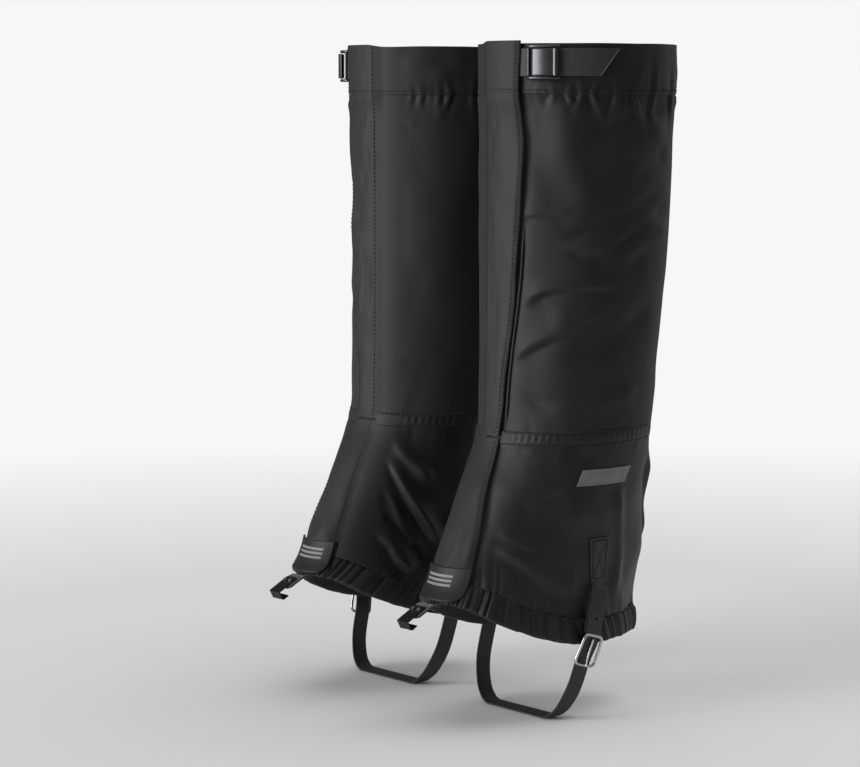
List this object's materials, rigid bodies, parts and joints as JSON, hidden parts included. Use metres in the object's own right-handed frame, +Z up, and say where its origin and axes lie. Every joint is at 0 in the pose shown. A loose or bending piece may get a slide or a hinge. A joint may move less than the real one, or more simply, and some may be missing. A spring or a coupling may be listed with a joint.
{
  "type": "pair of hiking gaiters",
  "caption": "Knee-high black nylon hiking gaiters with a full-length front flap, cam-buckled top strap, elastic hem, lace hook and buckled instep strap.",
  "frame": {"origin": "midway between the two gaiters, on the plane that the undersides of the instep straps lie on, under the legs' centre lines at the top", "axes": "+Z up the leg, toes toward -Y, the wearer's left toward +X"},
  "size_m": [0.2978, 0.2521, 0.506],
  "materials": {
    "left_upper_shell": "smooth woven nylon packcloth, soft sheen",
    "left_top_band": "doubled packcloth casing",
    "left_ankle_seam": "felled seam, double stitched",
    "left_lower_shell": "heavier woven nylon",
    "left_hem_casing": "gathered nylon casing",
    "left_hem_elastic": "woven elastic",
    "left_upper_flap": "packcloth, folded and stitched",
    "left_upper_loop_tape": "loop pile tape",
    "left_upper_hook_tape": "hook tape",
    "left_lower_flap": "nylon, folded and stitched",
    "left_lower_loop_tape": "loop pile tape",
    "left_lower_hook_tape": "hook tape",
    "left_pull_tab": "smooth moulded rubber with plain printed bars",
    "left_front_tongue": "hook tape on webbing",
    "left_lace_hook": "black oxide steel",
    "left_lace_rivet_inner": "dark steel rivet",
    "left_lace_rivet_outer": "dark steel rivet",
    "left_top_strap": "ribbed nylon webbing",
    "left_top_buckle_frame": "gunmetal",
    "left_top_buckle_pin": "gunmetal",
    "left_buckle_anchor": "webbing",
    "left_top_cam": "gunmetal, satin",
    "left_patch_lateral": "webbing patch",
    "left_patch_medial": "webbing patch",
    "left_instep_strap": "coated strap",
    "left_instep_hanger": "coated strap",
    "left_instep_buckle": "nickel-plated wire",
    "left_instep_prong": "nickel-plated wire",
    "left_side_emblem": "plain raised bar",
    "right_upper_shell": "smooth woven nylon packcloth, soft sheen",
    "right_top_band": "doubled packcloth casing",
    "right_ankle_seam": "felled seam, double stitched",
    "right_lower_shell": "heavier woven nylon",
    "right_hem_casing": "gathered nylon casing",
    "right_hem_elastic": "woven elastic",
    "right_upper_flap": "packcloth, folded and stitched",
    "right_upper_loop_tape": "loop pile tape",
    "right_upper_hook_tape": "hook tape",
    "right_lower_flap": "nylon, folded and stitched",
    "right_lower_loop_tape": "loop pile tape",
    "right_lower_hook_tape": "hook tape",
    "right_pull_tab": "smooth moulded rubber with plain printed bars",
    "right_front_tongue": "hook tape on webbing",
    "right_lace_hook": "black oxide steel",
    "right_lace_rivet_inner": "dark steel rivet",
    "right_lace_rivet_outer": "dark steel rivet",
    "right_top_strap": "ribbed nylon webbing",
    "right_top_buckle_frame": "gunmetal",
    "right_top_buckle_pin": "gunmetal",
    "right_buckle_anchor": "webbing",
    "right_top_cam": "gunmetal, satin",
    "right_patch_lateral": "webbing patch",
    "right_patch_medial": "webbing patch",
    "right_instep_strap": "coated strap",
    "right_instep_hanger": "coated strap",
    "right_instep_buckle": "nickel-plated wire",
    "right_instep_prong": "nickel-plated wire",
    "right_side_emblem": "plain raised bar"
  },
  "bodies": {
    "left_gaiter": {"left_upper_shell": "left_upper_shell", "left_top_band": "left_top_band", "left_ankle_seam": "left_ankle_seam", "left_lower_shell": "left_lower_shell", "left_hem_casing": "left_hem_casing", "left_hem_elastic": "left_hem_elastic", "left_upper_hook_tape": "left_upper_hook_tape", "left_lower_hook_tape": "left_lower_hook_tape", "left_front_tongue": "left_front_tongue", "left_lace_hook": "left_lace_hook", "left_lace_rivet_inner": "left_lace_rivet_inner", "left_lace_rivet_outer": "left_lace_rivet_outer", "left_top_buckle_frame": "left_top_buckle_frame", "left_top_buckle_pin": "left_top_buckle_pin", "left_buckle_anchor": "left_buckle_anchor", "left_patch_lateral": "left_patch_lateral", "left_patch_medial": "left_patch_medial", "left_side_emblem": "left_side_emblem"},
    "left_upper_flap_body": {"left_upper_flap": "left_upper_flap", "left_upper_loop_tape": "left_upper_loop_tape"},
    "left_lower_flap_body": {"left_lower_flap": "left_lower_flap", "left_lower_loop_tape": "left_lower_loop_tape"},
    "left_tab_body": {"left_pull_tab": "left_pull_tab"},
    "left_cam_body": {"left_top_cam": "left_top_cam"},
    "left_top_strap_body": {"left_top_strap": "left_top_strap"},
    "left_instep_body": {"left_instep_strap": "left_instep_strap", "left_instep_hanger": "left_instep_hanger"},
    "left_buckle_body": {"left_instep_buckle": "left_instep_buckle"},
    "left_prong_body": {"left_instep_prong": "left_instep_prong"},
    "right_gaiter": {"right_upper_shell": "right_upper_shell", "right_top_band": "right_top_band", "right_ankle_seam": "right_ankle_seam", "right_lower_shell": "right_lower_shell", "right_hem_casing": "right_hem_casing", "right_hem_elastic": "right_hem_elastic", "right_upper_hook_tape": "right_upper_hook_tape", "right_lower_hook_tape": "right_lower_hook_tape", "right_front_tongue": "right_front_tongue", "right_lace_hook": "right_lace_hook", "right_lace_rivet_inner": "right_lace_rivet_inner", "right_lace_rivet_outer": "right_lace_rivet_outer", "right_top_buckle_frame": "right_top_buckle_frame", "right_top_buckle_pin": "right_top_buckle_pin", "right_buckle_anchor": "right_buckle_anchor", "right_patch_lateral": "right_patch_lateral", "right_patch_medial": "right_patch_medial", "right_side_emblem": "right_side_emblem"},
    "right_upper_flap_body": {"right_upper_flap": "right_upper_flap", "right_upper_loop_tape": "right_upper_loop_tape"},
    "right_lower_flap_body": {"right_lower_flap": "right_lower_flap", "right_lower_loop_tape": "right_lower_loop_tape"},
    "right_tab_body": {"right_pull_tab": "right_pull_tab"},
    "right_cam_body": {"right_top_cam": "right_top_cam"},
    "right_top_strap_body": {"right_top_strap": "right_top_strap"},
    "right_instep_body": {"right_instep_strap": "right_instep_strap", "right_instep_hanger": "right_instep_hanger"},
    "right_buckle_body": {"right_instep_buckle": "right_instep_buckle"},
    "right_prong_body": {"right_instep_prong": "right_instep_prong"}
  },
  "joints": [
    {"name": "left_upper_flap_peel", "type": "hinge", "parent": "left_gaiter", "child": "left_upper_flap_body", "pos_m": [0.06381, -0.08308, 0.35938], "axis": [0.0007, -0.0049, -1], "range_deg": [0, 110]},
    {"name": "left_lower_flap_peel", "type": "hinge", "parent": "left_gaiter", "child": "left_lower_flap_body", "pos_m": [0.06096, -0.10487, 0.16488], "axis": [-0.0572, -0.4059, -0.9121], "range_deg": [0, 60]},
    {"name": "left_pull_tab_flex", "type": "hinge", "parent": "left_lower_flap_body", "child": "left_tab_body", "pos_m": [0.078, -0.13437, 0.1182], "axis": [-1, 0, 0], "range_deg": [0, 45]},
    {"name": "left_cam_lever", "type": "hinge", "parent": "left_gaiter", "child": "left_cam_body", "pos_m": [0.12581, -0.06709, 0.4885], "axis": [0, 0, 1], "range_deg": [0, 75]},
    {"name": "left_top_strap_pull", "type": "hinge", "parent": "left_gaiter", "child": "left_top_strap_body", "pos_m": [0.074, -0.006, 0.4885], "axis": [0, 0, 1], "range_deg": [0, 10]},
    {"name": "left_instep_swing", "type": "hinge", "parent": "left_gaiter", "child": "left_instep_body", "pos_m": [0.078, -0.025, 0.102], "axis": [1, 0, 0], "range_deg": [-25, 20]},
    {"name": "left_buckle_tilt", "type": "hinge", "parent": "left_instep_body", "child": "left_buckle_body", "pos_m": [0.1383, -0.0364, 0.064], "axis": [0, -0.9578, 0.2873], "range_deg": [0, 35]},
    {"name": "left_prong_lift", "type": "hinge", "parent": "left_buckle_body", "child": "left_prong_body", "pos_m": [0.1383, -0.0364, 0.064], "axis": [0, -0.9578, 0.2873], "range_deg": [0, 40]},
    {"name": "right_upper_flap_peel", "type": "hinge", "parent": "right_gaiter", "child": "right_upper_flap_body", "pos_m": [-0.06381, -0.08308, 0.35938], "axis": [0.0007, 0.0049, 1], "range_deg": [0, 110]},
    {"name": "right_lower_flap_peel", "type": "hinge", "parent": "right_gaiter", "child": "right_lower_flap_body", "pos_m": [-0.06096, -0.10487, 0.16488], "axis": [-0.0572, 0.4059, 0.9121], "range_deg": [0, 60]},
    {"name": "right_pull_tab_flex", "type": "hinge", "parent": "right_lower_flap_body", "child": "right_tab_body", "pos_m": [-0.078, -0.13437, 0.1182], "axis": [-1, 0, 0], "range_deg": [0, 45]},
    {"name": "right_cam_lever", "type": "hinge", "parent": "right_gaiter", "child": "right_cam_body", "pos_m": [-0.12581, -0.06709, 0.4885], "axis": [0, 0, -1], "range_deg": [0, 75]},
    {"name": "right_top_strap_pull", "type": "hinge", "parent": "right_gaiter", "child": "right_top_strap_body", "pos_m": [-0.074, -0.006, 0.4885], "axis": [0, 0, -1], "range_deg": [0, 10]},
    {"name": "right_instep_swing", "type": "hinge", "parent": "right_gaiter", "child": "right_instep_body", "pos_m": [-0.078, -0.025, 0.102], "axis": [1, 0, 0], "range_deg": [-25, 20]},
    {"name": "right_buckle_tilt", "type": "hinge", "parent": "right_instep_body", "child": "right_buckle_body", "pos_m": [-0.1383, -0.0364, 0.064], "axis": [0, 0.9578, -0.2873], "range_deg": [0, 35]},
    {"name": "right_prong_lift", "type": "hinge", "parent": "right_buckle_body", "child": "right_prong_body", "pos_m": [-0.1383, -0.0364, 0.064], "axis": [0, 0.9578, -0.2873], "range_deg": [0, 40]},
    {"name": "pair_spread", "type": "slide", "parent": "left_gaiter", "child": "right_gaiter", "axis": [-1, 0, 0], "range_m": [0, 0.25]}
  ]
}
